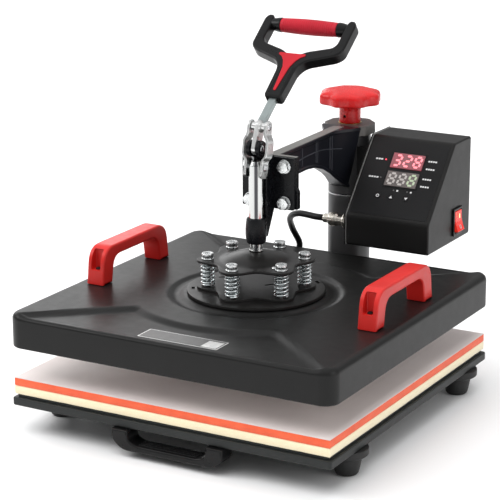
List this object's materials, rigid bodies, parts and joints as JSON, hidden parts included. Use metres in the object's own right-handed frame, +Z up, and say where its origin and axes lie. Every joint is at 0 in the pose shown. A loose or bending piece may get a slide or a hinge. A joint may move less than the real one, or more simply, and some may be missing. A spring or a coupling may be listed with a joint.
{
  "type": "heat press",
  "caption": "Swing-away flat heat press: square heated platen on a spring pack, toggle lever with cross grip, swing arm on a post, pressure knob, padded bed and sloped control box.",
  "frame": {"origin": "centre of the footprint, on the table under the feet", "axes": "+Z up out of the padded bed, +Y from the operator towards the post, +X towards the control box"},
  "size_m": [0.396, 0.46, 0.4178],
  "materials": {
    "black_paint": "satin powder coat",
    "black_plastic": "satin moulded",
    "red_plastic": "gloss moulded",
    "red_rubber": "soft matt, ribbed",
    "orange_silicone": "smooth silicone",
    "cream_felt": "felt",
    "pale_cloth": "coated cloth",
    "rubber": "matt",
    "zinc": "bright zinc plate",
    "chrome": "polished",
    "steel": "machined",
    "aluminium": "cast, machined face",
    "board_green": "solder mask",
    "smoked_window": "clear gloss"
  },
  "bodies": {
    "bed": {"base_plate": "black_paint", "felt_pad": "cream_felt", "silicone_pad": "orange_silicone", "pad_cloth": "pale_cloth", "foot_front_left": "rubber", "foot_front_right": "rubber", "foot_rear_left": "rubber", "foot_rear_right": "rubber", "carry_handle": "black_plastic", "post": "black_paint"},
    "lifter": {"thrust_ring": "steel"},
    "knob": {"pressure_knob": "red_plastic", "lift_screw": "steel"},
    "arm": {"swing_arm": "black_paint", "toggle_base": "black_paint", "toggle_bolt_1": "zinc", "toggle_bolt_2": "zinc", "toggle_bolt_3": "zinc", "toggle_bolt_4": "zinc", "lever_pin": "steel", "control_mount": "black_paint", "control_case": "black_paint", "circuit_board": "board_green", "display_module": "smoked_window", "switch_frame": "black_plastic", "mains_inlet": "black_plastic", "cable_plug": "chrome", "heater_cable": "rubber"},
    "set_key": {"key_set": "black_plastic"},
    "up_key": {"key_up": "black_plastic"},
    "down_key": {"key_down": "black_plastic"},
    "rocker": {"power_rocker": "red_plastic"},
    "platen": {"platen_cover": "black_paint", "heater_plate": "aluminium", "spring_seat": "black_paint", "handle_left": "red_plastic", "handle_right": "red_plastic", "cable_gland": "black_plastic", "spring_bolt_1": "zinc", "spring_bolt_2": "zinc", "spring_bolt_3": "zinc", "spring_bolt_4": "zinc", "spring_bolt_5": "zinc", "spring_bolt_6": "zinc", "spring_1": "zinc", "spring_2": "zinc", "spring_3": "zinc", "spring_4": "zinc", "spring_5": "zinc", "spring_6": "zinc"},
    "plunger": {"press_rod": "chrome", "press_flange": "black_paint"},
    "lever": {"lever_bar": "steel", "handle_frame": "black_plastic", "handle_insert": "red_plastic", "grip_sleeve": "red_rubber"},
    "links": {"link_left": "chrome", "link_right": "chrome", "link_pin": "steel"}
  },
  "joints": [
    {"name": "pressure_lift", "type": "slide", "parent": "bed", "child": "lifter", "axis": [0, 0, 1], "range_m": [0, 0.004]},
    {"name": "knob_turn", "type": "hinge", "parent": "lifter", "child": "knob", "pos_m": [0, 0.192, 0.289], "axis": [0, 0, 1], "range_deg": [0, 720]},
    {"name": "arm_swing", "type": "hinge", "parent": "lifter", "child": "arm", "pos_m": [0, 0.192, 0.199], "axis": [0, 0, 1], "range_deg": [-180, 180]},
    {"name": "press_stroke", "type": "slide", "parent": "arm", "child": "platen", "axis": [0, 0, -1], "range_m": [0, 0.0338]},
    {"name": "spring_travel", "type": "slide", "parent": "platen", "child": "plunger", "axis": [0, 0, -1], "range_m": [0, 0.004], "stiffness_N_per_m": 12000, "springref_m": -0.001, "deforming": ["spring_1", "spring_2", "spring_3", "spring_4", "spring_5", "spring_6"]},
    {"name": "lever_swing", "type": "hinge", "parent": "arm", "child": "lever", "pos_m": [0, -0.031, 0.2945], "axis": [1, 0, 0], "range_deg": [0, 149.2]},
    {"name": "link_swing", "type": "hinge", "parent": "plunger", "child": "links", "pos_m": [0, -0.031, 0.274], "axis": [1, 0, 0], "range_deg": [0, 36.9]},
    {"name": "power_switch", "type": "hinge", "parent": "arm", "child": "rocker", "pos_m": [0.14, 0.188, 0.1805], "axis": [0, 1, 0], "range_deg": [0, 20]},
    {"name": "set_press", "type": "slide", "parent": "arm", "child": "set_key", "axis": [0, 0.7549, -0.6558], "range_m": [0, 0.0008], "stiffness_N_per_m": 800, "springref_m": -0.0004},
    {"name": "up_press", "type": "slide", "parent": "arm", "child": "up_key", "axis": [0, 0.7549, -0.6558], "range_m": [0, 0.0008], "stiffness_N_per_m": 800, "springref_m": -0.0004},
    {"name": "down_press", "type": "slide", "parent": "arm", "child": "down_key", "axis": [0, 0.7549, -0.6558], "range_m": [0, 0.0008], "stiffness_N_per_m": 800, "springref_m": -0.0004}
  ],
  "couplings": [
    {"joint": "knob_turn", "follows": "pressure_lift", "rad_per_m": 3141.6},
    {"joint": "lever_swing", "follows": "press_stroke", "rad_per_m": 77.01},
    {"joint": "link_swing", "follows": "press_stroke", "rad_per_m": 19.049}
  ]
}
